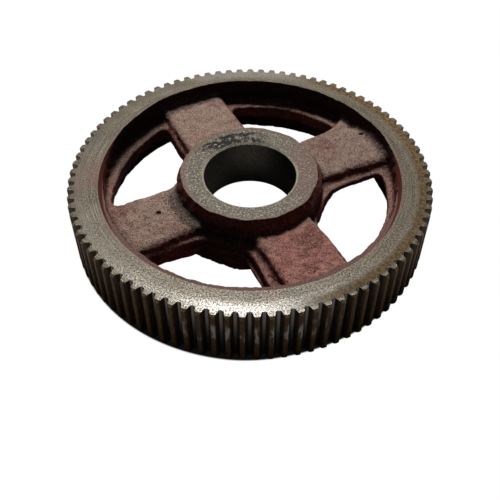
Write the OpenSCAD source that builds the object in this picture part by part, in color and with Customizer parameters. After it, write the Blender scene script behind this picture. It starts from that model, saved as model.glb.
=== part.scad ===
// Spur gear: an iron casting with a cut, toothed rim, four flat arms, a thin
// web flange round each of its four windows, and a bored hub.
// The gear turns about Z. The origin is the middle of the bore, half way
// across the face width, and the arms lie along the X and Y axes.

/* [Teeth] */
// Number of teeth
teeth = 89; // [72:1:120]
// Circular pitch: arc from one tooth to the next on the pitch circle
circular_pitch = 12.7; // [11:0.1:19]
// Pressure angle of the involute flanks
pressure_angle = 20; // [14.5:0.5:22]
// Tooth height above the pitch circle, in modules
addendum = 0.8; // [0.7:0.05:1]
// Tooth depth below the pitch circle, in modules
dedendum = 1; // [0.9:0.05:1.25]
// Width of the teeth along the axis
face_width = 64; // [56:1:90]
// Working clearance taken off each flank at the pitch circle
flank_backlash = 0.05; // [0:0.01:0.3]
// Angle from the +X arm to the nearest tooth centre
tooth_phase = -1.05; // [-2:0.05:2]
// Chamfer on the tips at both ends of each tooth
tip_chamfer = 2; // [0.4:0.1:2.4]
// Straight steps used to draw each flank
flank_steps = 5; // [3:1:10]

/* [Rim] */
// Mean radial thickness from the root circle to the cast inside of the rim
rim_thickness = 25.3; // [22:0.1:27]
// Shift of the cast inside of the rim from the gear's axis
core_shift = 7; // [0:0.5:8]
// Direction of that shift, from the +X arm
core_shift_angle = 63.6; // [0:0.1:360]
// Diameter of the turned recess at the rim's faces
recess_d = 305; // [300:1:312]
// Depth of the turned recess
recess_depth = 8.5; // [4:0.5:12]
// How much the recess narrows, in radius, down to its floor
recess_taper = 3; // [1:0.25:4]

/* [Arms] */
// Width of each arm
arm_width = 64; // [50:1:72]
// Thickness of each arm along the axis
arm_thickness = 34; // [24:1:40]

/* [Web] */
// Thickness of the web flange round the windows
web_thickness = 14; // [8:1:20]
// Flange showing at each side of an arm
flange_at_arm = 7.5; // [3:0.5:12]
// Mean width of flange showing inside the rim
flange_at_rim = 9; // [9:0.5:14]
// Flange showing round the hub
flange_at_hub = 4.5; // [3:0.5:9]
// Corner radius of the windows
window_corner = 10; // [5:0.5:12]

/* [Hub] */
// Bore diameter
bore_d = 94; // [70:0.5:98]
// Bore chamfer at both ends
bore_chamfer = 2; // [0.5:0.25:3]
// Outer diameter of the machined hub face
hub_face_d = 136; // [124:1:140]
// Outer diameter of the hub where the arms join it
hub_d = 146; // [142:1:150]
// Length of the hub, measured down from the upper face of the rim
hub_length = 56; // [50:1:64]

/* [Hidden] */
$fn = 180;
half_width = face_width / 2;
gear_module = circular_pitch / PI;
pitch_r = gear_module * teeth / 2;
base_r = pitch_r * cos(pressure_angle);
tip_r = pitch_r + addendum * gear_module;
root_r = pitch_r - dedendum * gear_module;
cast_r = root_r - rim_thickness;
bore_r = bore_d / 2;
hub_r = hub_d / 2;
overcut = 1; // how far cutting shapes run past what they cut

paint = "#6e3d3a";
bare = "#a09a8b";

function polar(radius, angle) = [radius * cos(angle), radius * sin(angle)];

// ---- tooth outline -------------------------------------------------------

// Heights above the root circle, in modules
fillet_height = 0.3;
bend_height = 0.08;
// Places across the root, from the foot of the flank (0) to mid-gap (1)
bend_place = 0.2;
floor_place = 0.52;

// Involute function, in degrees
function involute(angle) = tan(angle) * 180 / PI - angle;

// Half the angle that a tooth fills at a radius
function half_angle(radius) =
    90 / teeth + involute(pressure_angle) - involute(acos(base_r / radius))
    - flank_backlash / pitch_r * 180 / PI;

pitch_angle = 360 / teeth;
fillet_r = root_r + fillet_height * gear_module;
foot_half = half_angle(fillet_r);
half_gap = pitch_angle / 2 - foot_half;

function flank_r(i) = fillet_r + (tip_r - fillet_r) * i / flank_steps;

// Half a tooth from root to tip: [radius, angle from the tooth's centre]
half_tooth = concat(
    [[root_r, foot_half + floor_place * half_gap],
     [root_r + bend_height * gear_module, foot_half + bend_place * half_gap]],
    [for (i = [0:flank_steps]) [flank_r(i), half_angle(flank_r(i))]]);

// One tooth, anticlockwise: up one flank, across the tip, down the other
function tooth(centre) = concat(
    [for (station = half_tooth) polar(station[0], centre - station[1])],
    [for (i = [len(half_tooth) - 1:-1:0])
        polar(half_tooth[i][0], centre + half_tooth[i][1])]);

module gear_outline() {
    polygon([for (i = [0:teeth - 1])
             for (point = tooth(tooth_phase + i * pitch_angle)) point]);
}

// ---- rim -----------------------------------------------------------------

blank_margin = 20;    // blank reaches this far inside the cast radius
recess_clearance = 5; // recess cutter's height above the rim's face

// Turned recess in the upper face
module end_recess() {
    translate([0, 0, half_width - recess_depth])
        cylinder(h = recess_depth, r1 = recess_d / 2 - recess_taper, r2 = recess_d / 2);
    translate([0, 0, half_width])
        cylinder(h = recess_clearance, r = recess_d / 2);
}

// The cast inside of the rim, a little off the gear's axis
module cavity(height) {
    translate([core_shift * cos(core_shift_angle), core_shift * sin(core_shift_angle), 0])
        cylinder(h = height, r = cast_r, center = true);
}

// Turned envelope that chamfers both ends of the teeth at 45 degrees
module turned_blank() {
    inner_r = cast_r - blank_margin;
    chamfer_r = tip_r - tip_chamfer;
    outer_r = tip_r + overcut;
    outer_z = half_width - tip_chamfer - overcut;
    rotate_extrude()
        polygon([[inner_r, -half_width],
                 [chamfer_r, -half_width],
                 [outer_r, -outer_z],
                 [outer_r, outer_z],
                 [chamfer_r, half_width],
                 [inner_r, half_width]]);
}

module toothed_rim() {
    color(bare)
    difference() {
        intersection() {
            translate([0, 0, -half_width])
                linear_extrude(height = face_width) gear_outline();
            turned_blank();
        }
        cavity(face_width + 2 * overcut);
        end_recess();
        mirror([0, 0, 1]) end_recess();
    }
}

// ---- hub -----------------------------------------------------------------

hub_shoulder = 4; // height of the slope from the upper face out to hub_d
hub_draft = 1.5;  // radius lost from the underside of the arms to the lower end

module hub() {
    lower_z = half_width - hub_length;
    chamfer_r = bore_r + bore_chamfer;
    color(paint)
    rotate_extrude()
        polygon([[bore_r, lower_z + bore_chamfer],
                 [chamfer_r, lower_z],
                 [hub_r - hub_draft, lower_z],
                 [hub_r, -arm_thickness / 2],
                 [hub_r, half_width - hub_shoulder],
                 [hub_face_d / 2, half_width],
                 [chamfer_r, half_width],
                 [bore_r, half_width - bore_chamfer]]);
}

// ---- arms ----------------------------------------------------------------

// Direction of arm 1 to 4, anticlockwise from +X
function arm_angle(i) = 90 * (i - 1);

// The ring-shaped space between the hub and the cast inside of the rim
module hub_to_rim(height) {
    difference() {
        cavity(height);
        cylinder(h = height + 2 * overcut, r = hub_r, center = true);
    }
}

module arm(i) {
    color(paint)
    intersection() {
        hub_to_rim(arm_thickness);
        rotate([0, 0, arm_angle(i)])
            translate([0, -arm_width / 2, -face_width])
                cube([root_r, arm_width, 2 * face_width]);
    }
}

module arm_1() { arm(1); }
module arm_2() { arm(2); }
module arm_3() { arm(3); }
module arm_4() { arm(4); }

// ---- web flanges ---------------------------------------------------------

corner_steps = 8; // straight steps in each window corner
inner_end_gap = 1; // degrees left between the inner arc and each corner

// Edges of the window, and the radii on which its corners are centred
window_outer_r = cast_r - flange_at_rim;
window_inner_r = hub_r + flange_at_hub;
window_side = arm_width / 2 + flange_at_arm;
outer_corner_r = window_outer_r - window_corner;
inner_corner_r = window_inner_r + window_corner;

// Angles from the nearer arm to the corner centres
outer_angle = asin((window_side + window_corner) / outer_corner_r);
inner_angle = asin((window_side + window_corner) / inner_corner_r);

function arc(centre, radius, start, end, steps) =
    [for (i = [0:steps]) centre + polar(radius, start + (end - start) * i / steps)];

// Round corner centred at a radius and angle from the gear's axis
function corner(centre_r, centre_angle, start, end) =
    arc(polar(centre_r, centre_angle), window_corner, start, end, corner_steps);

// Outline of the window between the arms along +X and +Y, anticlockwise. Its
// sides are parallel to the arms and its ends follow the rim and the hub.
// The outer corners leave out one step, so they don't repeat the arc's ends.
function window_points() =
    let (step = 90 / corner_steps)
    concat(
        arc([0, 0], window_outer_r, outer_angle, 90 - outer_angle, 3 * corner_steps),
        corner(outer_corner_r, 90 - outer_angle, 90 - outer_angle + step, 180),
        corner(inner_corner_r, 90 - inner_angle, 180, 270 - inner_angle),
        arc([0, 0], window_inner_r, 90 - inner_angle - inner_end_gap,
            inner_angle + inner_end_gap, 2 * corner_steps),
        corner(inner_corner_r, inner_angle, 180 + inner_angle, 270),
        corner(outer_corner_r, outer_angle, -90, outer_angle - step));

// Flange i fills the quadrant anticlockwise of arm i
module web_flange(i) {
    color(paint)
    difference() {
        intersection() {
            hub_to_rim(web_thickness);
            rotate([0, 0, arm_angle(i)])
                translate([arm_width / 2, arm_width / 2, -face_width])
                    cube([root_r, root_r, 2 * face_width]);
        }
        rotate([0, 0, arm_angle(i)])
            translate([0, 0, -face_width])
                linear_extrude(height = 2 * face_width) polygon(window_points());
    }
}

module web_flange_1() { web_flange(1); }
module web_flange_2() { web_flange(2); }
module web_flange_3() { web_flange(3); }
module web_flange_4() { web_flange(4); }

// ---- drawing -------------------------------------------------------------

toothed_rim();
hub();
arm_1();
arm_2();
arm_3();
arm_4();
web_flange_1();
web_flange_2();
web_flange_3();
web_flange_4();
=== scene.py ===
import math, time
import bmesh
import bpy
import numpy as np
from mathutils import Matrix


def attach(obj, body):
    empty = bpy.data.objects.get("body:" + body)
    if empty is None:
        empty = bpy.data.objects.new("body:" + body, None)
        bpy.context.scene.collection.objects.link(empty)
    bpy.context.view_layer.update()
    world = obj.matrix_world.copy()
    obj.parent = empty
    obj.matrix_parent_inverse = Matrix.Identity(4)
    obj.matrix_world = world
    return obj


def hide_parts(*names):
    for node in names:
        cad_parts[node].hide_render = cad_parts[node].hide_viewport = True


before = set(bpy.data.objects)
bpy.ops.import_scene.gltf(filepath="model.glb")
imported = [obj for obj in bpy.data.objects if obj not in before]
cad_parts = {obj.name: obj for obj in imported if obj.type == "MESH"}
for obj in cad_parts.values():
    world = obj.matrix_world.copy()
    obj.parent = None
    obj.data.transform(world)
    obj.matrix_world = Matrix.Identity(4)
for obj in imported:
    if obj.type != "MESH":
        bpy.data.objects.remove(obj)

import openvdb

T0 = time.time()
def log(*a): print("[%.1fs]" % (time.time() - T0), *a, flush=True)

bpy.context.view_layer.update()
sc = bpy.context.scene

# --------------------------------------------------------------------------
# Sizes, in millimetres, in the row frame. They repeat the CAD's own sizes.
# --------------------------------------------------------------------------
TEETH, MOD, HALF = 89, 12.7 / math.pi, 32.0
R_PITCH = MOD * TEETH / 2                                 # 179.89
R_TIP, R_ROOT = R_PITCH + 0.8 * MOD, R_PITCH - MOD        # 183.13, 175.85
CHAMFER = 2.0                                             # on the tooth tips, at both ends
PHASE = math.radians(-1.05)
RC, SHIFT, SHIFT_A = 149.3, 8.0, math.radians(63.6)       # cast inside of the rim
CX, CY = SHIFT * math.cos(SHIFT_A), SHIFT * math.sin(SHIFT_A)
REC_R, REC_D, REC_T = 152.5, 8.5, 3.0                     # turned recess
R_HUB, Z_HUB, BORE, CH = 73.0, -24.0, 47.0, 2.0
HUB_R, HUB_X, HUB_Y = 74.0, 1.2, 3.2                      # the hub as cast, a little off the bore too
ARM_H, WEB_H = 17.0, 7.0
WIN_O, WIN_I, WIN_S, WIN_C = 141.5, 77.5, 39.5, 10.0
R_SEAM = 160.0                                            # inside the rim's solid iron
TURN = math.radians(26.4)                                 # the viewer's frame, turned from the row frame

H = 1.0                                 # voxel of the cast skin

# --------------------------------------------------------------------------
# Mesh helpers
# --------------------------------------------------------------------------
def mesh_object(name, co_mm, loops, counts, code=0):
    me = bpy.data.meshes.new(name)
    co = np.asarray(co_mm, np.float64) * 0.001
    me.vertices.add(len(co))
    me.vertices.foreach_set("co", co.astype(np.float32).ravel())
    counts = np.asarray(counts, np.int32)
    me.loops.add(int(counts.sum()))
    me.loops.foreach_set("vertex_index", np.asarray(loops, np.int32).ravel())
    me.polygons.add(len(counts))
    me.polygons.foreach_set("loop_start", np.concatenate([[0], np.cumsum(counts)[:-1]]).astype(np.int32))
    me.polygons.foreach_set("loop_total", counts)
    me.update(calc_edges=True)
    at = me.attributes.new("code", "INT", "FACE")
    at.data.foreach_set("value", np.broadcast_to(np.asarray(code, np.int32), (len(counts),)).copy())
    ob = bpy.data.objects.new(name, me)
    sc.collection.objects.link(ob)
    return ob

def lathe(name, prof, n, code):
    """Solid of revolution from a closed (r, z) profile run anticlockwise. Face codes: code + segment."""
    prof = np.asarray(prof, float); m = len(prof)
    a = np.arange(n) * 2 * math.pi / n
    co = np.empty((n, m, 3))
    co[:, :, 0] = np.cos(a)[:, None] * prof[None, :, 0]
    co[:, :, 1] = np.sin(a)[:, None] * prof[None, :, 0]
    co[:, :, 2] = prof[None, :, 1]
    i = np.arange(n)[:, None]; j = np.arange(m)[None, :]
    i2 = (i + 1) % n; j2 = (j + 1) % m
    q = np.stack([i * m + j, i2 * m + j, i2 * m + j2, i * m + j2], -1)
    return mesh_object(name, co.reshape(-1, 3), q, np.full(n * m, 4), np.tile(code + np.arange(m), n))

def prism(name, pts, z0, z1, code):
    n = len(pts); pts = np.asarray(pts, float)
    co = np.concatenate([np.c_[pts, np.full(n, z0)], np.c_[pts, np.full(n, z1)]])
    i = np.arange(n); i2 = (i + 1) % n
    side = np.stack([i, i2, i2 + n, i + n], -1).reshape(-1)
    loops = np.concatenate([side, np.arange(n)[::-1], np.arange(n) + n])
    return mesh_object(name, co, loops, np.concatenate([np.full(n, 4), [n, n]]), code)

def disc(name, r, n, cx, cy, code):
    a = np.arange(n) * 2 * math.pi / n
    return prism(name, np.c_[cx + r * np.cos(a), cy + r * np.sin(a)], -45, 45, code)

def boolean(a, b, op, name):
    """A new object: a op b. a and b stay as they are."""
    ob = bpy.data.objects.new(name, a.data)
    sc.collection.objects.link(ob)
    m = ob.modifiers.new("b", "BOOLEAN")
    m.operation, m.object, m.solver = op, b, "MANIFOLD"
    dg = bpy.context.evaluated_depsgraph_get()
    me = bpy.data.meshes.new_from_object(ob.evaluated_get(dg))
    ob.modifiers.clear()
    ob.data = me
    me.name = name
    return ob

def tidy(ob):
    """Drop the crumbs that a cut leaves behind: islands of under 200 corners."""
    me = ob.data
    e = np.empty(len(me.edges) * 2, np.int32); me.edges.foreach_get("vertices", e)
    e = e.reshape(-1, 2)
    lab = np.arange(len(me.vertices))
    while True:
        low = np.minimum(lab[e[:, 0]], lab[e[:, 1]])
        new = lab.copy()
        np.minimum.at(new, e[:, 0], low); np.minimum.at(new, e[:, 1], low)
        new = new[new]; new = new[new]
        if (new == lab).all():
            break
        lab = new
    ids, inv, cnt = np.unique(lab, return_inverse=True, return_counts=True)
    small = cnt[inv] < 200
    if small.any():
        bm = bmesh.new(); bm.from_mesh(me)
        bm.verts.ensure_lookup_table()
        bmesh.ops.delete(bm, geom=[bm.verts[i] for i in np.nonzero(small)[0]], context="VERTS")
        bm.to_mesh(me); bm.free()
        log(ob.name, "dropped", int(small.sum()))

def drop(*obs):
    for o in obs:
        me = o.data
        bpy.data.objects.remove(o)
        if me.users == 0:
            bpy.data.meshes.remove(me)

def arr(seq, name, n, dtype=np.float32):
    a = np.empty(n, dtype); seq.foreach_get(name, a); return a

# --------------------------------------------------------------------------
# The cast iron, as a signed distance field: negative inside the iron
# --------------------------------------------------------------------------
X0, X1, Z0, Z1 = -165.0, 165.0, -35.0, 36.5
xs = np.arange(X0, X1 + H, H, dtype=np.float32)
zs = np.arange(Z0, Z1 + H, H, dtype=np.float32)
X = xs[:, None, None]; Y = xs[None, :, None]; Z = zs[None, None, :]

def spline_weights(n, spacing, offset):
    pos = (np.arange(n) * H) / spacing + 1.0 + offset
    m = int(math.ceil(pos[-1])) + 4
    W = np.zeros((n, m), np.float32)
    i0 = np.floor(pos).astype(int); t = (pos - i0).astype(np.float32)
    b = [(1 - t) ** 3 / 6, (3 * t ** 3 - 6 * t ** 2 + 4) / 6,
         (-3 * t ** 3 + 3 * t ** 2 + 3 * t + 1) / 6, t ** 3 / 6]
    for k in range(4):
        W[np.arange(n), np.clip(i0 - 1 + k, 0, m - 1)] += b[k]
    return W, m

def noise3(spacing, seed):
    """Smooth seeded noise of unit deviation, with features of about the spacing."""
    rng = np.random.default_rng(seed)
    Wx, mx = spline_weights(len(xs), spacing, 0.0)
    Wz, mz = spline_weights(len(zs), spacing, 0.3)
    g = rng.standard_normal((mx, mx, mz)).astype(np.float32)
    a = np.tensordot(g, Wz, (2, 1))                 # mx, my, z
    a = np.tensordot(Wx, a, (1, 0))                 # x, my, z
    out = np.empty((len(xs), len(xs), len(zs)), np.float32)
    np.matmul(Wx, a, out=out)                       # x, y, z
    out /= out.std()
    return out

def fillet_union(a, b, r):
    """Union of two distances with a round fillet of radius r in the corner."""
    u = np.maximum(r - a, 0); v = np.maximum(r - b, 0)
    return np.maximum(np.minimum(a, b), r) - np.sqrt(u * u + v * v)

def round_cut(ds, r):
    """Intersection of distances with edges rounded to radius r."""
    s = 0.0; m = None
    for d in ds:
        u = np.maximum(d + r, 0); s = s + u * u
        m = d if m is None else np.maximum(m, d)
    return np.sqrt(s) - r + np.minimum(m + r, 0)

# how far each arm's raised part reaches to the right and left of its centre
# line, looking outward: (at the hub, at the rim)
ARM_SIDES = {0: ((-22.5, -26.5), (38.5, 46.5)),
             1: ((-34.0, -36.0), (33.5, 35.5)),
             2: ((-32.0, -32.5), (31.5, 36.5)),
             3: ((-29.0, -29.5), (33.5, 34.5))}
# how round those two edges are
ARM_EDGES = {0: (6.0, 7.0), 1: (5.0, 4.0), 2: (4.5, 5.5), 3: (4.5, 5.0)}

def cast_field():
    wob1, wob2 = noise3(26, 11), noise3(26, 12)
    r2 = np.sqrt(X * X + Y * Y)
    rc = np.sqrt((X - CX) ** 2 + (Y - CY) ** 2)
    az = np.abs(Z)
    rh = np.hypot(X - HUB_X, Y - HUB_Y)
    # windows, with sides that wander a little; the one to the right of arm 1
    # comes closer to it, over a web that is thinner there
    ax = np.abs(X) + 0.7 * wob1
    ay = np.where(Y > 0, Y - 1.5 * (X > 0), -Y + 6.0 * (X > 0) * np.clip((X - 60.0) / 30.0, 0, 1)) + 0.7 * wob2
    win = round_cut([WIN_S - ax, WIN_S - ay, r2 - WIN_O - 0.7 * wob1, WIN_I - r2 + 0.5 * wob2], WIN_C)
    thin = 6.5 * np.clip((X - 70.0) / 15.0, 0, 1) * np.clip((-Y - 26.0) / 5.0, 0, 1) * np.clip((82.0 + Y) / 12.0, 0, 1)
    web_z = np.where(Z > 0, az, az + thin)
    d = round_cut([web_z - WEB_H, -win - 0.045 * (az - WEB_H)], 2.2)
    # raised arms
    pads = None
    for k, ((a0, a1), (b0, b1)) in ARM_SIDES.items():
        c, s = [(1, 0), (0, 1), (-1, 0), (0, -1)][k]
        u = c * X + s * Y; v = -s * X + c * Y
        t = np.clip((u - 70.0) / 80.0, 0, 1.1)
        lo = a0 + (a1 - a0) * t; hi = b0 + (b1 - b0) * t
        if k == 0:
            hi = hi + 0.016 * np.maximum(u - 116.0, 0) ** 2
            lo = lo + 0.7 * np.clip(-Z, 0, 17.0)
            drop = 3.5 * np.clip((u - 120.0) / 22.0, 0, 1) * np.clip((v - 24.0) / 14.0, 0, 1)
        else:
            drop = 0.0
        # the lower halves of arms 3 and 4 stand out further on the sides facing window 3
        if k == 3:
            lo = lo - 10.5 * np.clip(-Z / 4.0, 0, 1)
        if k == 2:
            hi = hi + 6.0 * np.clip(-Z / 4.0, 0, 1) * np.clip((112.0 - u) / 30.0, 0, 1)
        lean = 0.24 * (az - ARM_H)
        e0, e1 = ARM_EDGES[k]
        p = np.maximum(round_cut([az - ARM_H + drop, v - hi + lean + 0.7 * wob1, 30.0 - u], e1),
                       round_cut([az - ARM_H, lo - v + lean + 0.7 * wob2, 30.0 - u], e0))
        pads = p if pads is None else np.minimum(pads, p)
    rim = (RC + 0.03 * az) - rc + 0.35 * wob2
    d = fillet_union(d, fillet_union(pads, rim, 7.5), 4.8)
    # hub, with its draft
    lean = np.where(Z > 21.0, 0.42 * (Z - 21.0), 0.03 * (Z - 21.0)) + 0.15 * np.maximum(-Z - ARM_H, 0)
    hub = np.maximum((rh - HUB_R - 0.5 * wob1 + lean) * 0.96, np.maximum(Z - 35.0, -29.0 - Z))
    d = fillet_union(d, hub, 4.0)
    # heavy fillet under the hub, facing window 3
    da = np.abs(np.degrees(np.arctan2(-X + Y, -X - Y)))
    swell = np.maximum(rh - HUB_R - 9.0 * np.clip((54.0 - da) / 14.0, 0, 1) - 0.8 * wob2, np.maximum(-22.5 - Z, Z + 3.0))
    d = fillet_union(d, np.where(da < 56.0, swell, 9.0), 4.0)
    return np.maximum(d, np.maximum(r2 - 163.0, az - 34.0)).astype(np.float32)

base = cast_field()
log("base field", base.shape)

def blur(a, sigma):
    n = max(1, int(round(3 * sigma)))
    k = np.exp(-0.5 * (np.arange(-n, n + 1) / sigma) ** 2); k /= k.sum()
    for ax in range(3):
        p = np.pad(a, [(n, n) if i == ax else (0, 0) for i in range(3)], mode="edge")
        out = np.zeros_like(a)
        for i, w in enumerate(k):
            sl = [slice(None)] * 3; sl[ax] = slice(i, i + a.shape[ax])
            out += np.float32(w) * p[tuple(sl)]
        a = out
    return a

lim = np.clip(base, -12, 12)
near = blur(lim, 2.4 / H)                                # below 0 in corners, above 0 on edges
wide = blur(lim[::3, ::3, ::3].copy(), 7.5 / (3 * H))
del lim

# sand-cast skin: slow waves, sand grain, burnt-on lumps and pits
n_a, n_b, n_c = noise3(8.0, 1), noise3(3.0, 2), noise3(max(1.35, 1.3 * H), 3)
rough = np.clip(1.0 - 0.30 * near, 0.7, 2.4)
lumps = np.clip(noise3(4.2, 5) - 1.2, 0, 2.5) * np.clip(-near, 0, 1.5)
pits = np.clip(noise3(max(1.7, 1.5 * H), 4) - 1.75, 0, 1.6)
field = base - 0.30 * n_a - (0.21 * n_b + 0.16 * n_c) * rough - 0.60 * lumps + 0.6 * pits
del lumps, rough, n_a, n_b, n_c, pits
# blow holes in two arm tops: x, y, radius across, radius down
for px, py, ra, rz in [(-99.5, 2.4, 2.7, 3.0), (145.0, 18.5, 2.4, 2.6), (123.0, 37.5, 1.6, 1.8), (103.0, -12.0, 1.3, 1.5)]:
    q = np.sqrt((X - px) ** 2 + (Y - py) ** 2 + ((Z - ARM_H) * ra / rz) ** 2) - ra
    field = np.maximum(field, -q)
log("skin")
grad = np.gradient(field, H)

def sample(grid, co, f=1):
    """Trilinear samples of a grid at points in millimetres."""
    g = (co - np.array([X0, X0, Z0])) / (H * f)
    g = np.clip(g, 0, np.array(grid.shape) - 1.001)
    i = np.floor(g).astype(int); t = (g - i).astype(np.float32)
    out = 0
    for dx in (0, 1):
        for dy in (0, 1):
            for dz in (0, 1):
                w = ((t[:, 0] if dx else 1 - t[:, 0]) * (t[:, 1] if dy else 1 - t[:, 1])
                     * (t[:, 2] if dz else 1 - t[:, 2]))
                out = out + w * grid[i[:, 0] + dx, i[:, 1] + dy, i[:, 2] + dz]
    return out

vdb = openvdb.FloatGrid()
vdb.background = 5.0
vdb.copyFromArray(np.ascontiguousarray(np.clip(field, -4, 4), dtype=np.float32))
pts, quads = vdb.convertToQuads(0.0)
pts = pts.astype(np.float64) * H + np.array([X0, X0, Z0])
tri = np.concatenate([quads[:, [0, 1, 2]], quads[:, [0, 2, 3]]])
v = pts[tri]
if np.einsum("ij,ij->i", v[:, 0], np.cross(v[:, 1], v[:, 2])).sum() < 0:
    tri = tri[:, ::-1]
cast = mesh_object("cast_blank", pts, tri, np.full(len(tri), 3), 0)
log("blank", len(tri))

# --------------------------------------------------------------------------
# Machining the blank, and parting it at the sections of the CAD model.
# Codes: 0 cast skin, 1 parting faces inside the iron, 10-15 hub, 20-27 rim.
# --------------------------------------------------------------------------
N = 360
hub_tool = lathe("t_hub", [(BORE, Z_HUB + CH), (BORE + CH, Z_HUB), (R_HUB, Z_HUB), (R_HUB, HALF),
                           (BORE + CH, HALF), (BORE, HALF - CH)], N, 10)
rim_tool = lathe("t_rim", [(132, -HALF + REC_D), (REC_R - REC_T, -HALF + REC_D), (REC_R, -HALF), (R_SEAM, -HALF),
                           (R_SEAM, HALF), (REC_R, HALF), (REC_R - REC_T, HALF - REC_D), (132, HALF - REC_D)], N, 20)
cav = disc("t_cav", RC - 1.1, N, CX, CY, 1)
hubc = disc("t_hubc", R_HUB, N, 0, 0, 1)

hub = boolean(cast, hub_tool, "INTERSECT", "hub_visual")
rim_a = boolean(cast, rim_tool, "INTERSECT", "rim_a")
rim_in = boolean(rim_a, cav, "DIFFERENCE", "rim_in")
mid_a = boolean(cast, cav, "INTERSECT", "mid_a")
mid = boolean(mid_a, hubc, "DIFFERENCE", "mid")
drop(rim_a, mid_a)
pieces = {"hub": hub}
for k in range(4):
    a = math.pi / 2 * k
    turn = lambda p: [(x * math.cos(a) - y * math.sin(a), x * math.sin(a) + y * math.cos(a)) for x, y in p]
    t = prism("t_arm", turn([(0, -32), (170, -32), (170, 32), (0, 32)]), -45, 45, 1)
    pieces["arm_%d" % (k + 1)] = boolean(mid, t, "INTERSECT", "arm_%d_visual" % (k + 1)); drop(t)
    t = prism("t_web", turn([(32, 32), (170, 32), (170, 170), (32, 170)]), -45, 45, 1)
    pieces["web_flange_%d" % (k + 1)] = boolean(mid, t, "INTERSECT", "web_flange_%d_visual" % (k + 1)); drop(t)
drop(mid, cast, hub_tool, rim_tool, cav, hubc)
for ob in pieces.values():
    tidy(ob)
log("parted")

# --------------------------------------------------------------------------
# The toothed ring. Codes: 30 flat faces, 31 flanks, tips and roots, 32 edges.
# --------------------------------------------------------------------------
def tooth_outline():
    inv = lambda a: math.tan(a) - a
    pa = math.radians(20); rb = R_PITCH * math.cos(pa); p = 2 * math.pi / TEETH
    half = lambda r: math.pi / (2 * TEETH) + inv(pa) - inv(math.acos(rb / r)) - 0.05 / R_PITCH
    rf = R_ROOT + 0.3 * MOD
    g = p / 2 - half(rf)
    side = []                                         # from the root's middle up to the tip's middle
    for t in (1.0, 0.6, 0.82, 0.95):
        tt = 0.0 if t == 1.0 else t
        side.append((R_ROOT + (rf - R_ROOT) * (1 - (1 - tt ** 2.4) ** (1 / 2.4)), p / 2 - g * tt))
    for r in np.linspace(rf, R_TIP - 0.45, 8):
        side.append((r, half(r)))
    ht = half(R_TIP)
    side.append((R_TIP - 0.12, half(R_TIP - 0.12)))
    side.append((R_TIP, ht - 0.25 / R_TIP))
    side.append((R_TIP, ht * 0.55)); side.append((R_TIP, 0.0))
    one = [(r, -a) for r, a in side] + [(r, a) for r, a in side[-2:0:-1]]
    out = []
    for k in range(TEETH):
        out += [(r, PHASE + k * p + a) for r, a in one]
    return np.array(out), len(one)

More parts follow.
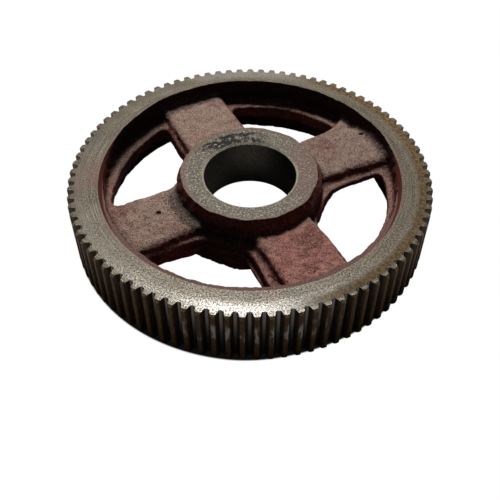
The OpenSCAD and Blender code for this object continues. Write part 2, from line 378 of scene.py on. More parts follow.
def toothed_ring():
    out, per = tooth_outline()
    n = len(out)
    P = np.c_[out[:, 0] * np.cos(out[:, 1]), out[:, 0] * np.sin(out[:, 1])]
    T = np.roll(P, -1, 0) - np.roll(P, 1, 0)
    T /= np.linalg.norm(T, axis=1)[:, None]
    Nn = np.c_[T[:, 1], -T[:, 0]]                      # outward
    rng = np.random.default_rng(7)
    def ragged(amp, seed):
        g = np.random.default_rng(seed).standard_normal(n)
        k = np.array([1, 2, 3, 2, 1.0]); k /= k.sum()
        s = np.zeros(n)
        for i, w in enumerate(k): s += w * np.roll(g, i - 2)
        tooth = np.repeat(np.random.default_rng(seed + 1).standard_normal(TEETH), per)
        return amp * (0.7 * s / s.std() + 0.6 * tooth)
    worn = 0.4 * np.clip((out[:, 0] - 179.0) / 3.5, 0, 1) ** 1.5       # corners rubbed off toward the tips
    e_top = np.clip(0.32 + worn + ragged(0.14, 21), 0.1, 1.4)
    e_bot = np.clip(0.32 + worn + ragged(0.14, 31), 0.1, 1.4)
    levels = []
    def level(z, inset, code):
        q = P - Nn * np.asarray(inset)[..., None] if np.ndim(inset) else P - Nn * inset
        r = np.hypot(q[:, 0], q[:, 1])
        zz = np.broadcast_to(np.asarray(z, float), (n,))
        rmax = R_TIP - CHAMFER + (HALF - np.abs(zz))
        q = q * np.minimum(1.0, rmax / r)[:, None]
        levels.append(np.c_[q, zz]); codes.append(code)
    codes = []
    level(-HALF, e_bot, 32)
    level(-HALF + 0.3 * e_bot, 0.3 * e_bot, 32)
    level(-HALF + 1.0 * e_bot, 0.0, 31)
    for z in (CHAMFER - HALF, -10, 10, HALF - CHAMFER):
        level(z, 0.0, 31)
    level(HALF - 1.0 * e_top, 0.0, 32)
    level(HALF - 0.3 * e_top, 0.3 * e_top, 32)
    level(HALF, e_top, 32)
    L = len(levels)
    co = np.concatenate(levels)
    i = np.arange(n); i2 = (i + 1) % n
    loops, counts, code = [], [], []
    def add(f, c):
        loops.append(f.reshape(-1)); counts.append(np.full(len(f), f.shape[1])); code.append(np.full(len(f), c))
    for l in range(L - 1):
        add(np.stack([l * n + i, l * n + i2, (l + 1) * n + i2, (l + 1) * n + i], -1), codes[l])
    # flat faces: outline -> same angles at r 170 -> 360 points at the seam
    inner = R_SEAM - 1.0
    ang = out[:, 1]
    a3 = np.arange(N) * 2 * math.pi / N
    for top in (False, True):
        z = HALF if top else -HALF
        o0 = (L - 1) * n if top else 0
        m0 = len(co)
        co = np.concatenate([co, np.c_[170 * np.cos(ang), 170 * np.sin(ang), np.full(n, z)]])
        c0 = len(co)
        co = np.concatenate([co, np.c_[inner * np.cos(a3), inner * np.sin(a3), np.full(N, z)]])
        f = np.stack([m0 + i, o0 + i, o0 + i2, m0 + i2], -1)
        add(f if top else f[:, ::-1], 30)
        # strip between the n-ring at 170 and the N-ring
        A = ang - 2 * math.pi * np.floor(ang[0] / (2 * math.pi)); A = A - A[0]
        b0 = int(np.searchsorted(a3, (ang[0]) % (2 * math.pi))) % N
        B = (a3[(b0 + np.arange(N)) % N] - ang[0]) % (2 * math.pi)
        ia = ib = 0; tris = []
        while ia < n or ib < N:
            na = A[ia + 1] if ia + 1 < n else 2 * math.pi + (A[0] if ia + 1 == n else 9)
            nb = B[ib + 1] if ib + 1 < N else 2 * math.pi + (B[0] if ib + 1 == N else 9)
            va, vb = m0 + ia % n, c0 + (b0 + ib) % N
            if (na <= nb and ia < n) or ib >= N:
                tris.append((vb, va, m0 + (ia + 1) % n)); ia += 1
            else:
                tris.append((vb, va, c0 + (b0 + ib + 1) % N)); ib += 1
        tris = np.array(tris)
        add(tris if top else tris[:, ::-1], 30)
        if top:
            ctop = c0
        else:
            cbot = c0
    j = np.arange(N); j2 = (j + 1) % N
    add(np.stack([cbot + j, ctop + j, ctop + j2, cbot + j2], -1), 1)
    return mesh_object("toothed_ring", co, np.concatenate(loops), np.concatenate(counts), np.concatenate(code))

ring = toothed_ring()
rim = boolean(rim_in, ring, "UNION", "toothed_rim_visual")
drop(rim_in, ring)
pieces["toothed_rim"] = rim
log("toothed rim", len(rim.data.polygons))

# --------------------------------------------------------------------------
# Normals, shading attributes and material slots
# --------------------------------------------------------------------------
def profile_normal(a, b):
    d = np.subtract(b, a); n = np.array([d[1], -d[0]]) / np.hypot(*d)
    return n
PROFILE = {}
hp = [(BORE, Z_HUB + CH), (BORE + CH, Z_HUB), (R_HUB, Z_HUB), (R_HUB, HALF), (BORE + CH, HALF), (BORE, HALF - CH)]
rp = [(132, -HALF + REC_D), (REC_R - REC_T, -HALF + REC_D), (REC_R, -HALF), (R_SEAM, -HALF),
      (R_SEAM, HALF), (REC_R, HALF), (REC_R - REC_T, HALF - REC_D), (132, HALF - REC_D)]
for base_code, prof in ((10, hp), (20, rp)):
    for j in range(len(prof)):
        PROFILE[base_code + j] = profile_normal(prof[j], prof[(j + 1) % len(prof)])

def dress(ob, slots):
    """slots: [(material, {codes})]; the first one takes every other code."""
    me = ob.data
    nv, nl, npoly = len(me.vertices), len(me.loops), len(me.polygons)
    co = arr(me.vertices, "co", nv * 3).reshape(-1, 3).astype(np.float64) * 1000
    lv = arr(me.loops, "vertex_index", nl, np.int32)
    tot = arr(me.polygons, "loop_total", npoly, np.int32)
    pn = arr(me.polygons, "normal", npoly * 3).reshape(-1, 3)
    code = arr(me.attributes["code"].data, "value", npoly, np.int32)
    # the boolean keeps loops in polygon order
    pl = np.repeat(np.arange(npoly), tot)
    lcode = code[pl]
    g = np.stack([sample(c, co) for c in grad], -1)
    g /= np.maximum(np.linalg.norm(g, axis=1), 1e-6)[:, None]
    nor = np.zeros((nl, 3))
    m = lcode == 0
    nor[m] = g[lv[m]]
    # a corner whose field normal disagrees with its face keeps the plain one
    off = np.einsum("ij,ij->i", nor, pn[pl]) < 0.2
    nor[m & off] = 0
    lco = co[lv]; lr = np.maximum(np.hypot(lco[:, 0], lco[:, 1]), 1e-6)
    for c, (nr, nz) in PROFILE.items():
        m = lcode == c
        if c not in (12, 23, 27) and m.any():
            nor[m] = np.c_[lco[m, 0] / lr[m] * nr, lco[m, 1] / lr[m] * nr, np.full(m.sum(), nz)]
    m = lcode == 30
    nor[m] = np.c_[np.zeros((m.sum(), 2)), np.sign(pn[pl][m, 2])]
    me.polygons.foreach_set("use_smooth", np.ones(npoly, bool))
    me.set_sharp_from_angle(angle=math.radians(38))
    me.normals_split_custom_set(nor.tolist())
    # how hollow or proud the skin is here
    b = sample(base, co)
    cav = np.clip(b - sample(near, co), 0, 3) / 3
    prd = np.clip(sample(near, co) - b, 0, 2) / 2
    deep = np.clip(-sample(wide, co, 3), 0, 6) / 6
    for name, val in (("cav", cav), ("prd", prd), ("deep", deep)):
        at = me.attributes.new(name, "FLOAT", "POINT")
        at.data.foreach_set("value", val.astype(np.float32))
    me.materials.clear()
    idx = np.zeros(npoly, np.int32)
    for i, (mat, codes) in enumerate(slots):
        me.materials.append(mat)
        if i:
            idx[np.isin(code, list(codes))] = i
    me.polygons.foreach_set("material_index", idx)
    me.attributes.remove(me.attributes["code"])
    for u in [u.name for u in me.uv_layers]:
        me.uv_layers.remove(me.uv_layers[u])
    me.update()

# --------------------------------------------------------------------------
# Node-building shorthand. Everything is procedural, in millimetres.
# --------------------------------------------------------------------------
class Shader:
    def __init__(self, name):
        self.m = bpy.data.materials.new(name)
        self.m.use_nodes = True
        self.t = self.m.node_tree
        self.t.nodes.clear()
        tc = self.node("ShaderNodeTexCoord").outputs["Object"]
        mm = self.vm("MULTIPLY", tc, (1000.0, 1000.0, 1000.0))
        rot = self.node("ShaderNodeVectorRotate", rotation_type="Z_AXIS")
        self.put(rot.inputs["Vector"], mm); rot.inputs["Angle"].default_value = TURN
        self.p = rot.outputs[0]                      # as seen by the viewer: x right, y away, z up
        s = self.node("ShaderNodeSeparateXYZ"); self.put(s.inputs[0], self.p)
        self.x, self.y, self.z = s.outputs
        self.r = self.math("SQRT", self.math("ADD", self.math("MULTIPLY", self.x, self.x),
                                             self.math("MULTIPLY", self.y, self.y)))
        self.th = self.math("ARCTAN2", self.y, self.x)

    def node(self, kind, **props):
        n = self.t.nodes.new(kind)
        for k, v in props.items():
            setattr(n, k, v)
        return n

    def put(self, sock, v):
        if isinstance(v, bpy.types.NodeSocket):
            self.t.links.new(v, sock)
        elif isinstance(v, (tuple, list)) and len(v) == 3 and sock.type == "RGBA":
            sock.default_value = (*v, 1.0)
        else:
            sock.default_value = v

    def math(self, op, a, b=0.0, c=0.0, clamp=False):
        n = self.node("ShaderNodeMath", operation=op, use_clamp=clamp)
        for s, v in zip(n.inputs, (a, b, c)):
            self.put(s, v)
        return n.outputs[0]

    def vm(self, op, a, b=(0.0, 0.0, 0.0)):
        n = self.node("ShaderNodeVectorMath", operation=op)
        self.put(n.inputs[0], a)
        if op == "SCALE":
            self.put(n.inputs["Scale"], b)
        else:
            self.put(n.inputs[1], b)
        return n.outputs[0]

    def vec(self, x, y, z):
        n = self.node("ShaderNodeCombineXYZ")
        for s, v in zip(n.inputs, (x, y, z)):
            self.put(s, v)
        return n.outputs[0]

    def noise(self, size, detail=2.0, rough=0.5, vec=None, seed=0.0, distort=0.0):
        """Noise whose main features are about size mm; 0..1 round 0.5."""
        n = self.node("ShaderNodeTexNoise", noise_dimensions="3D")
        v = self.p if vec is None else vec
        if seed:
            v = self.vm("ADD", v, (37.1 * seed, 11.3 * seed, 5.7 * seed))
        self.put(n.inputs["Vector"], v)
        n.inputs["Scale"].default_value = 1.0 / size
        n.inputs["Detail"].default_value = detail
        n.inputs["Roughness"].default_value = rough
        n.inputs["Distortion"].default_value = distort
        return n.outputs["Fac"]

    def cells(self, size, vec=None, out="Distance", feature="F1", random=1.0):
        n = self.node("ShaderNodeTexVoronoi", feature=feature)
        self.put(n.inputs["Vector"], self.p if vec is None else vec)
        n.inputs["Scale"].default_value = 1.0 / size
        n.inputs["Randomness"].default_value = random
        return n.outputs[out]

    def step(self, v, a, b, lo=0.0, hi=1.0):
        """Smooth rise from lo to hi as v goes from a to b (a may be above b)."""
        n = self.node("ShaderNodeMapRange", interpolation_type="SMOOTHSTEP")
        self.put(n.inputs["Value"], v)
        if isinstance(a, (int, float)) and isinstance(b, (int, float)) and a > b:
            a, b, lo, hi = b, a, hi, lo
        for k, val in (("From Min", a), ("From Max", b), ("To Min", lo), ("To Max", hi)):
            self.put(n.inputs[k], val)
        return n.outputs[0]

    def mix(self, f, a, b, kind="MIX"):
        n = self.node("ShaderNodeMix", data_type="RGBA", blend_type=kind, clamp_factor=True)
        self.put(n.inputs[0], f); self.put(n.inputs[6], a); self.put(n.inputs[7], b)
        return n.outputs[2]

    def fmix(self, f, a, b):
        n = self.node("ShaderNodeMix", data_type="FLOAT", clamp_factor=True)
        self.put(n.inputs[0], f); self.put(n.inputs[2], a); self.put(n.inputs[3], b)
        return n.outputs[0]

    def mul(self, *v):
        out = v[0]
        for w in v[1:]:
            out = self.math("MULTIPLY", out, w)
        return out

    def add(self, *v):
        out = v[0]
        for w in v[1:]:
            out = self.math("ADD", out, w)
        return out

    def attr(self, name):
        n = self.node("ShaderNodeAttribute", attribute_name=name, attribute_type="GEOMETRY")
        return n.outputs["Fac"]

    def shade(self, color, k):
        """Colour times a number."""
        return self.mix(1.0, color, self.vec(k, k, k), "MULTIPLY")

    def bump(self, height, mm, strength=1.0, normal=None):
        n = self.node("ShaderNodeBump")
        n.inputs["Strength"].default_value = strength
        n.inputs["Distance"].default_value = mm * 0.001
        self.put(n.inputs["Height"], height)
        if normal is not None:
            self.put(n.inputs["Normal"], normal)
        return n.outputs[0]

    def up(self):
        """1 on faces that look up, 0 on upright ones and below."""
        g = self.node("ShaderNodeNewGeometry")
        s = self.node("ShaderNodeSeparateXYZ"); self.put(s.inputs[0], g.outputs["Normal"])
        return s.outputs[2]

    def surface(self, color, rough, metal=0.0, spec=0.5, normal=None, coat=None):
        b = self.node("ShaderNodeBsdfPrincipled")
        self.put(b.inputs["Base Color"], color)
        self.put(b.inputs["Roughness"], rough)
        self.put(b.inputs["Metallic"], metal)
        self.put(b.inputs["Specular IOR Level"], spec)
        if normal is not None:
            self.put(b.inputs["Normal"], normal)
        o = self.node("ShaderNodeOutputMaterial")
        self.t.links.new(b.outputs[0], o.inputs["Surface"])
        return self.m

# --------------------------------------------------------------------------
# Materials
# --------------------------------------------------------------------------
def turned_face(name, rust=False, hub=False):
    """Bare turned iron: tool lines, coarse bright and dark grain, old handling and overspray."""
    s = Shader(name)
    ring = s.vec(s.mul(s.r, 1.0), s.mul(s.th, 2.2), s.z)
    lines = s.noise(1.0, 3, 0.6, ring)
    grain = s.noise(1.6, 3, 0.7)
    fine = s.noise(0.55, 2, 0.6, seed=2)
    patch = s.noise(16, 3, 0.6, seed=5)
    c = s.mix(s.step(grain, 0.38, 0.62), (0.030, 0.023, 0.014), (0.165, 0.136, 0.096))
    c = s.mix(s.mul(0.55, s.step(lines, 0.44, 0.66)), c, (0.150, 0.125, 0.092))
    c = s.mix(s.mul(0.70, s.step(lines, 0.45, 0.35)), c, (0.034, 0.027, 0.018))
    c = s.mix(s.mul(0.4, s.step(patch, 0.50, 0.66)), c, (0.050, 0.038, 0.026))
    c = s.mix(s.mul(0.7, s.step(fine, 0.60, 0.72)), c, (0.250, 0.215, 0.165))
    rough = s.fmix(s.step(grain, 0.35, 0.65), 0.40, 0.27)
    metal = 0.12
    spec = 0.25
    if rust:
        # burnished toward the teeth
        polish = s.step(s.r, s.add(156.0, s.mul(8.0, s.noise(20, 2, 0.5, seed=19))), 174)
        spec = s.mul(s.fmix(polish, 0.18, s.mul(s.step(s.x, -78, -15, 0.33, 1.05), s.step(s.x, 85, 30, 0.5, 1.0), s.step(s.r, 176.5, 178.5, 1.0, 0.6))), s.step(grain, 0.38, 0.60, 0.35, 1.15))
        rough = s.fmix(polish, s.add(rough, 0.04), s.add(rough, -0.05))
        # light scratches, most of them near the left
        turned = s.step(s.noise(0.62, 2, 0.7, s.vec(s.mul(s.r, 1.0), s.mul(s.th, 1.1), 0.0), seed=15), 0.57, 0.67)
        where = s.step(s.noise(26, 2, 0.5, seed=16), 0.44, 0.58)
        c = s.mix(s.mul(0.70, turned, where, s.step(s.x, 90, -60)), c, (0.330, 0.300, 0.250))
        # a browned band inside the teeth on the right, stronger toward the teeth
        right = s.step(s.x, 0, 105)
        near_teeth = s.mul(s.step(s.r, s.add(157.0, s.mul(14.0, s.noise(14, 3, 0.6, seed=4))), 172), s.step(s.r, 179.5, 176.5))
        blot = s.noise(5.0, 3, 0.65, seed=7)
        amount = s.mul(right, near_teeth, s.step(blot, 0.12, 0.42))
        ochre = s.mix(s.step(s.noise(3.0, 3, 0.6, seed=8), 0.38, 0.64), (0.050, 0.030, 0.011), (0.150, 0.092, 0.034))
        c = s.mix(s.mul(0.95, amount), c, ochre)
        spots = s.mul(s.step(s.x, 90, 135), s.step(s.y, 0, 30), s.step(s.r, 162, 172), s.step(s.noise(3.6, 2, 0.6, seed=17), 0.58, 0.66))
        c = s.mix(s.mul(0.8, spots), c, (0.300, 0.150, 0.050))
        brown = s.mul(s.step(s.y, 40, -60), s.step(s.r, 170, 176), s.step(s.noise(3.2, 3, 0.65, seed=18), 0.44, 0.60))
        c = s.mix(s.mul(s.step(s.r, 174.0, 178.0, 0.35, 0.65), brown), c, (0.100, 0.068, 0.038))
        metal = s.fmix(amount, metal, 0.0)
        rough = s.fmix(amount, rough, 0.6)
        spec = s.fmix(amount, spec, 0.12)
        # thin overspray of primer at the recess and in patches at the left
        ang = s.math("ABSOLUTE", s.math("SUBTRACT", s.math("ABSOLUTE", s.th), 3.10))
        left = s.mul(s.step(ang, 0.16, 0.05), s.step(s.noise(8, 2, 0.5, seed=6), 0.42, 0.58))
        edge = s.step(s.r, s.add(153.5, s.mul(5.0, s.step(s.noise(12, 2, 0.5, seed=12), 0.45, 0.7))), 152.0)
        spray = s.math("MAXIMUM", s.mul(0.45, left), s.mul(0.55, edge))
        c = s.mix(spray, c, (0.155, 0.070, 0.058))
    if hub:
        c = s.shade(c, 0.72)
        spec = 0.16
        rough = 0.46
        # overspray on the right, and a dark worn stain on the far part
        speck = s.noise(1.9, 3, 0.75, seed=23)
        c = s.mix(s.mul(0.90, s.step(speck, 0.48, 0.38)), c, (0.020, 0.016, 0.011))
        c = s.mix(s.mul(0.90, s.step(speck, 0.54, 0.64)), c, (0.300, 0.262, 0.200))
        side = s.mul(s.step(s.x, 14, 56), s.step(s.math("ABSOLUTE", s.math("SUBTRACT", s.y, 4.0)), 50, 22))
        spray = s.mul(side, s.step(s.noise(7, 2, 0.5, seed=6), 0.30, 0.50), s.step(speck, 0.62, 0.46, 0.6, 1.0))
        rim_r = s.add(s.r, s.mul(-0.032, s.y))
        spray = s.math("MAXIMUM", s.mul(0.75, spray), s.mul(0.6, s.step(rim_r, 65.0, 67.6)))
        c = s.mix(spray, c, (0.090, 0.039, 0.030))
        blob = s.noise(4.6, 3, 0.62, seed=14)
        stain = s.mul(s.step(s.y, 26, 42), s.step(s.x, 26, 4), s.step(s.r, 66.5, 64), s.step(blob, 0.42, 0.51))
        c = s.mix(s.mul(0.92, stain), c, (0.006, 0.007, 0.009))
        spec = s.fmix(stain, spec, 0.03)
    h = s.add(s.mul(0.60, grain), s.mul(0.30, lines), s.mul(0.30, fine))
    return s.surface(c, rough, metal, spec, normal=s.bump(h, 0.30))

def primer(name):
    """Maroon primer on sand-cast iron: sandy grain, dust and rubbed spots on top, soot-dark hollows with painted
    shade, and painted shade at the far wall, round the hub's foot and inside the rim.
    """
    s = Shader(name)
    up = s.up()
    cav, prd, deep = s.attr("cav"), s.attr("prd"), s.attr("deep")
    g1 = s.noise(1.5, 3, 0.65, seed=1)
    g2 = s.noise(0.85, 2, 0.6, seed=2)
    blot = s.noise(7, 4, 0.65, seed=4)
    big = s.noise(45, 2, 0.5, seed=5)
    maroon = s.mix(s.step(blot, 0.35, 0.65), (0.105, 0.018, 0.014), (0.175, 0.042, 0.034))
    dusty = s.mix(s.step(blot, 0.34, 0.66), (0.225, 0.136, 0.108), (0.315, 0.215, 0.170))
    dusty = s.shade(dusty, s.fmix(s.mul(s.step(s.x, 25, 60), s.step(s.y, -12, 8)), 1.0, 0.86))
    # the arm nearest the viewer's right keeps more of its paint
    fresh = s.mul(s.step(s.x, -5, 30), s.step(s.y, -40, -75))
    top = s.mul(s.step(up, 0.50, 0.92), s.step(s.add(s.mul(0.75, big), s.mul(0.25, blot)), 0.26, 0.50))
    ledge = s.mul(s.step(s.z, 12.0, 9.0), s.step(s.z, -12.0, -9.0))
    top = s.mul(top, s.fmix(fresh, 0.95, 0.90), s.fmix(ledge, 1.0, 0.55), s.step(s.add(cav, s.mul(0.25, g1)), 0.46, 0.22))
    dusty = s.mix(s.mul(0.85, fresh), dusty, s.mix(s.step(blot, 0.36, 0.64), (0.240, 0.062, 0.050), (0.400, 0.155, 0.125)))
    c = s.mix(top, maroon, dusty)
    c = s.mix(s.mul(0.40, s.step(prd, 0.25, 0.8), s.step(up, 0.1, 0.6)), c, (0.30, 0.22, 0.18))
    # pepper and dust, in grains
    c = s.mix(s.mul(0.93, s.step(g1, 0.49, 0.39)), c, (0.024, 0.010, 0.009))
    c = s.mix(s.mul(0.80, s.step(g2, 0.55, 0.68), s.step(up, 0.0, 0.7)), c, (0.42, 0.33, 0.27))
    # soot and sand in the hollows, with painted shade in the same corners, coarse and broken at its edge
    edge = s.mul(1.3, s.math("SUBTRACT", g1, 0.5), s.step(cav, 0.03, 0.14))
    soot_and_shade = s.step(s.add(cav, edge), 0.08, 0.28, 0.0, 0.93)
    soot_and_shade = s.mul(soot_and_shade, s.fmix(s.mul(ledge, s.step(up, 0.45, 0.80)), 1.0, 0.40))
    c = s.mix(soot_and_shade, c, (0.012, 0.007, 0.006))
    # painted shade: darker deep in the broad hollows, broken at its edge
    c = s.mix(s.step(s.add(deep, s.mul(0.5, edge)), 0.34, 0.80, 0.0, 0.75), c, (0.014, 0.007, 0.006))
    # painted shadow, in sand-like grains, where the arms and the flange run into the far wall
    dx, dy = s.add(s.x, -6.4), s.add(s.y, -4.8)
    rc = s.math("SQRT", s.add(s.mul(dx, dx), s.mul(dy, dy)))
    reach = s.add(rc, s.mul(16.0, s.math("SUBTRACT", g1, 0.5)), s.mul(14.0, s.math("SUBTRACT", s.noise(5.5, 2, 0.6, seed=21), 0.5)), s.step(s.x, 30, 80, 0.0, 5.0))
    far_wall_shade = s.mul(s.step(reach, 142.0, 147.0), s.step(s.y, 5.0, 50.0), s.step(g2, 0.66, 0.52, 0.35, 1.0))
    c = s.mix(s.mul(0.80, far_wall_shade), c, (0.014, 0.007, 0.006))
    # painted shade round the foot of the hub, on the side away from the light
    hub_foot_shade = s.add(s.r, s.mul(26.0, s.math("SUBTRACT", g1, 0.5)), s.mul(16.0, s.math("SUBTRACT", s.noise(5.5, 2, 0.6, seed=22), 0.5)))
    hub_foot_shade = s.mul(s.step(hub_foot_shade, 90.0, 83.0), s.step(s.y, 0.0, -25.0), s.step(s.x, 30.0, -15.0), s.step(s.z, 27.0, 20.0))
    c = s.mix(s.mul(0.88, hub_foot_shade, s.step(g2, 0.66, 0.52, 0.35, 1.0)), c, (0.014, 0.008, 0.007))
    # painted shade on the inside of the rim, away from the light
    far_rim_shade = s.mul(s.step(s.r, 138.0, 144.0), s.step(up, 0.6, 0.3), s.step(s.y, -20.0, 60.0))
    c = s.mix(s.mul(0.55, far_rim_shade), c, (0.016, 0.006, 0.005))
    rough = s.fmix(s.step(g1, 0.4, 0.6), 0.86, 0.66)
    h = s.add(s.mul(0.8, g1), s.mul(0.55, g2), s.mul(0.30, s.noise(3.2, 2, 0.5, seed=8)))
    return s.surface(c, rough, 0.0, s.fmix(up, 0.12, 0.3), normal=s.bump(h, 1.15))

def painted_turned(name):
    """The turned recess: smooth iron under thin dark red primer."""
    s = Shader(name)
    ring = s.vec(s.mul(s.r, 1.0), s.mul(s.th, 2.0), s.mul(s.z, 1.0))
    lines = s.noise(0.8, 2, 0.6, ring)
    grain = s.noise(1.4, 3, 0.6)
    up = s.up()
    flat = s.step(up, 0.6, 0.95)
    c = s.mix(s.step(grain, 0.35, 0.65), (0.070, 0.014, 0.010), (0.125, 0.034, 0.026))
    dust = s.mix(s.step(grain, 0.38, 0.62), (0.085, 0.040, 0.033), (0.150, 0.086, 0.070))
    c = s.mix(flat, c, dust)
    c = s.mix(s.mul(0.25, s.step(lines, 0.55, 0.7)), c, (0.22, 0.13, 0.105))
    h = s.add(s.mul(0.5, grain), s.mul(0.35, lines))
    return s.surface(c, 0.72, 0.0, 0.2, normal=s.bump(h, 0.18))

def teeth_mat(name):
    """Hobbed teeth under old oil: dark flanks, browned tips, pale rubbed crests."""
    s = Shader(name)
    axial = s.vec(s.mul(s.x, 1.0), s.mul(s.y, 1.0), s.mul(s.z, 0.16))
    streak = s.noise(1.6, 3, 0.6, axial)
    grain = s.noise(1.2, 3, 0.6, seed=3)
    spot = s.noise(6, 3, 0.6, s.vec(s.x, s.y, s.mul(s.z, 0.35)), seed=5)
    tip = s.step(s.r, 181.7, 182.5)
    root = s.step(s.r, 177.2, 176.3)
    up = s.up()
    cham = s.mul(s.step(up, 0.35, 0.6), s.step(s.r, 180.6, 181.1))
    flank_c = s.mix(s.step(streak, 0.4, 0.62), (0.028, 0.019, 0.012), (0.070, 0.048, 0.030))
    high = s.step(s.z, -6.0, 26.0)
    flank_c = s.mix(s.mul(0.4, high), flank_c, (0.105, 0.066, 0.037))
    tip_c = s.mix(s.step(grain, 0.4, 0.62), (0.080, 0.040, 0.017), (0.170, 0.094, 0.044))
    pale = s.mul(s.step(spot, 0.47, 0.57), s.step(s.z, 22, 14), s.step(s.z, -10, 2), s.step(s.x, 95, 40), s.step(s.x, -95, -40))
    tip_c = s.mix(s.mul(0.9, pale), tip_c, (0.420, 0.385, 0.325))
    c = s.mix(tip, flank_c, tip_c)
    c = s.mix(s.mul(0.8, root), c, (0.150, 0.142, 0.130))
    cc = s.mix(s.step(grain, 0.42, 0.60), (0.100, 0.062, 0.034), (0.380, 0.270, 0.165))
    c = s.mix(cham, c, cc)
    rough = s.fmix(tip, s.fmix(root, 0.45, 0.30), s.fmix(s.step(grain, 0.4, 0.6), 0.62, 0.46))
    rough = s.fmix(cham, rough, 0.6)
    metal = s.fmix(tip, s.fmix(root, 0.4, 0.9), s.fmix(pale, 0.0, 0.35))
    metal = s.fmix(cham, metal, 0.1)
    h = s.add(s.mul(0.6, grain), s.mul(0.4, streak))
    return s.surface(c, rough, metal, s.fmix(tip, 0.35, 0.1), normal=s.bump(h, 0.14))

def edge_mat(name):
    s = Shader(name)
    grain = s.noise(1.5, 3, 0.65)
    nick_glint = s.noise(2.6, 2, 0.6, seed=4)
    c = s.mix(s.step(grain, 0.40, 0.60), (0.055, 0.036, 0.021), (0.190, 0.150, 0.105))
    # pale nicks on the edges, which also stand in for glints: partly painted highlight
    c = s.mix(s.step(nick_glint, 0.56, 0.64), c, (0.520, 0.480, 0.400))
    return s.surface(c, 0.5, 0.1, 0.25, normal=s.bump(grain, 0.25))

def bore_mat(name):
    s = Shader(name)
    lines = s.noise(0.9, 3, 0.6, s.vec(s.mul(s.th, 8.0), 0.0, s.z))
    grain = s.noise(1.4, 3, 0.6)
    left = s.step(s.x, -10, -45)
    c = s.mix(s.step(grain, 0.35, 0.65), (0.050, 0.044, 0.038), (0.105, 0.094, 0.082))
    c = s.mix(s.mul(0.4, s.step(lines, 0.5, 0.65)), c, (0.15, 0.135, 0.12))
    # painted light: the left side of the bore is made lighter in colour and less metallic
    c = s.shade(c, s.fmix(left, 1.0, 2.6))
    h = s.add(s.mul(0.4, grain), s.mul(0.5, lines))
    return s.surface(c, 0.38, s.fmix(left, 0.85, 0.35), normal=s.bump(h, 0.12))

def chamfer_mat(name):
    s = Shader(name)
    grain = s.noise(1.5, 3, 0.6)
    c = s.mix(s.step(grain, 0.38, 0.62), (0.24, 0.215, 0.165), (0.62, 0.57, 0.47))
    return s.surface(c, 0.5, 0.2, normal=s.bump(grain, 0.15))

M_PRIMER = primer("primed_cast")
M_FACE = turned_face("rim_face", rust=True)
M_HUBF = turned_face("hub_face", hub=True)
M_REC = painted_turned("recess")
M_TEETH = teeth_mat("teeth")
M_EDGE = edge_mat("tooth_edge")
M_BORE = bore_mat("bore")
M_CHAM = chamfer_mat("bore_chamfer")

for name, ob in pieces.items():
    if name == "toothed_rim":
        slots = [(M_PRIMER, ()), (M_FACE, {22, 24, 30}), (M_REC, {20, 21, 25, 26}), (M_TEETH, {31}), (M_EDGE, {32})]
    elif name == "hub":
        slots = [(M_PRIMER, ()), (M_HUBF, {11, 13}), (M_BORE, {15}), (M_CHAM, {10, 14})]
    else:
        slots = [(M_PRIMER, ())]
    dress(ob, slots)
    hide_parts(name)
    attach(ob, "root")
log("dressed")
del field, grad, near, wide, base

# --------------------------------------------------------------------------
# Floor, light and camera
# --------------------------------------------------------------------------
def floor_mat():
    s = Shader("floor")
    lp = s.node("ShaderNodeLightPath")
    d = s.node("ShaderNodeBsdfDiffuse")
    d.inputs["Color"].default_value = (0.35, 0.35, 0.35, 1)
    white = s.node("ShaderNodeBsdfDiffuse")
    white.inputs["Color"].default_value = (0.008, 0.008, 0.008, 1)
    e = s.node("ShaderNodeEmission")
    e.inputs["Color"].default_value = (1, 1, 1, 1)
    # painted shadow on the floor: dark only in the notches under the teeth, more of them on the left
    notch_shade = s.add(s.r, s.mul(-1.0, s.step(s.x, -20, 70, 182.6, 180.0)))
    s.put(e.inputs["Strength"], s.math("MAXIMUM", s.step(notch_shade, -1.0, 1.0, 0.004, 1.0), s.step(s.r, 174.0, 172.0)))
    both = s.node("ShaderNodeAddShader")
    s.t.links.new(white.outputs[0], both.inputs[0]); s.t.links.new(e.outputs[0], both.inputs[1])
    # what shiny iron sees of it: a painted reflection, glowing pale for glossy rays only, and dark close to the gear
    # like a shadow
    reflection_glow = s.node("ShaderNodeEmission")
    reflection_glow.inputs["Color"].default_value = (1.0, 0.99, 0.97, 1)
    s.put(reflection_glow.inputs["Strength"], s.step(s.r, 196.0, 222.0, 0.0, 0.50))
    shiny = s.node("ShaderNodeAddShader")
    s.t.links.new(d.outputs[0], shiny.inputs[0]); s.t.links.new(reflection_glow.outputs[0], shiny.inputs[1])
    other = s.node("ShaderNodeMixShader")
    s.t.links.new(lp.outputs["Is Glossy Ray"], other.inputs[0])
    s.t.links.new(d.outputs[0], other.inputs[1]); s.t.links.new(shiny.outputs[0], other.inputs[2])
    m = s.node("ShaderNodeMixShader")
    s.t.links.new(lp.outputs["Is Camera Ray"], m.inputs[0])
    s.t.links.new(other.outputs[0], m.inputs[1]); s.t.links.new(both.outputs[0], m.inputs[2])
    o = s.node("ShaderNodeOutputMaterial")
    s.t.links.new(m.outputs[0], o.inputs["Surface"])
    return s.m

me = bpy.data.meshes.new("floor")
S = 6.0; zf = -HALF * 0.001 - 0.0003
me.from_pydata([(-S, -S, zf), (S, -S, zf), (S, S, zf), (-S, S, zf)], [], [(0, 1, 2, 3)])
floor = bpy.data.objects.new("floor", me); sc.collection.objects.link(floor)
me.materials.append(floor_mat())

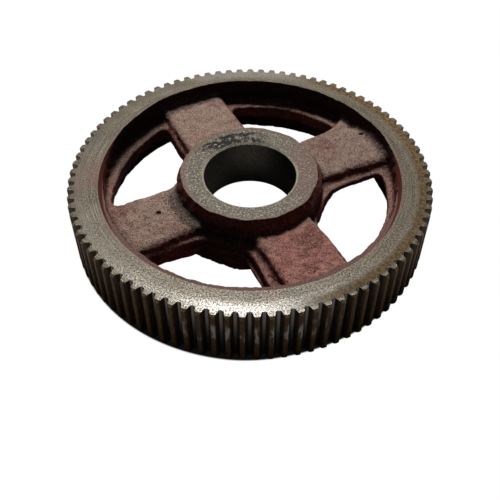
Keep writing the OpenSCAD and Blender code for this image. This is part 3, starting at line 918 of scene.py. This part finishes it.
from mathutils import Matrix, Vector
ROT = Matrix.Rotation(-TURN, 4, "Z")
def area(name, loc, aim, sx, sy, power, color=(1, 1, 1)):
    li = bpy.data.lights.new(name, "AREA"); li.shape = "RECTANGLE"; li.size, li.size_y = sx, sy
    li.energy = power; li.color = color
    o = bpy.data.objects.new(name, li); sc.collection.objects.link(o)
    loc = ROT @ Vector(loc); aim = ROT @ Vector(aim)
    o.matrix_world = Matrix.Translation(loc) @ (aim - loc).to_track_quat("-Z", "Y").to_matrix().to_4x4()
    return o

el = math.radians(56); az = math.radians(93); D = 1.8
area("key", (D * math.cos(el) * math.cos(az), D * math.cos(el) * math.sin(az), D * math.sin(el)), (0, 0, 0),
     0.36, 0.34, 40, (1.0, 0.985, 0.95))
area("fill", (-0.6, -1.6, 1.6), (0, 0, 0), 1.4, 1.0, 0.8, (0.95, 0.97, 1.0))

w = bpy.data.worlds.new("world"); sc.world = w; w.use_nodes = True
nt = w.node_tree; nt.nodes.clear()
lp = nt.nodes.new("ShaderNodeLightPath"); bg = nt.nodes.new("ShaderNodeBackground")
bg2 = nt.nodes.new("ShaderNodeBackground"); mx = nt.nodes.new("ShaderNodeMixShader")
wo = nt.nodes.new("ShaderNodeOutputWorld")
bg.inputs[0].default_value = (1, 1, 1, 1); bg.inputs[1].default_value = 0.03
bg2.inputs[0].default_value = (1, 1, 1, 1); bg2.inputs[1].default_value = 1.0
nt.links.new(lp.outputs["Is Camera Ray"], mx.inputs[0])
nt.links.new(bg.outputs[0], mx.inputs[1]); nt.links.new(bg2.outputs[0], mx.inputs[2])
nt.links.new(mx.outputs[0], wo.inputs[0])

def camera():
    """Viewing angle worked out from the ellipses of the gear's upper face."""
    f, D, el, cx, cy, roll, pp = 740.2301, 4.1357, 0.7353, 249.7479, 173.2032, -0.0037, 250.0
    C = np.array([0, -D * math.cos(el), D * math.sin(el)])
    fw = -C / np.linalg.norm(C); rt = np.array([1.0, 0, 0]); up = np.cross(rt, fw)
    v = np.array([(cx - pp) / f, -(cy - pp) / f, 1.0]); v /= np.linalg.norm(v)
    pitch = math.atan2(v[1], v[2]); yaw = math.atan2(v[0], math.hypot(v[1], v[2]))
    fw2 = fw * math.cos(pitch) - up * math.sin(pitch); up2 = up * math.cos(pitch) + fw * math.sin(pitch)
    fw3 = fw2 * math.cos(yaw) - rt * math.sin(yaw); rt3 = rt * math.cos(yaw) + fw2 * math.sin(yaw)
    cr, sr = math.cos(roll), math.sin(roll)
    rt4 = rt3 * cr - up2 * sr; up4 = rt3 * sr + up2 * cr
    m = Matrix([[rt4[i], up4[i], -fw3[i], C[i] * 0.182] for i in range(3)] + [[0, 0, 0, 1]])
    m = Matrix.Translation((0, 0, HALF * 0.001)) @ ROT @ m
    cam = bpy.data.cameras.new("camera"); cam.sensor_width = 36; cam.lens = f / 500 * 36
    cam.clip_start, cam.clip_end = 0.01, 50
    o = bpy.data.objects.new("camera", cam); sc.collection.objects.link(o)
    o.matrix_world = m
    sc.camera = o
camera()

sc.view_settings.view_transform = "Standard"
sc.view_settings.look = "None"
sc.view_settings.exposure = 0.0
sc.view_settings.gamma = 1.0

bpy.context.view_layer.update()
log("done")
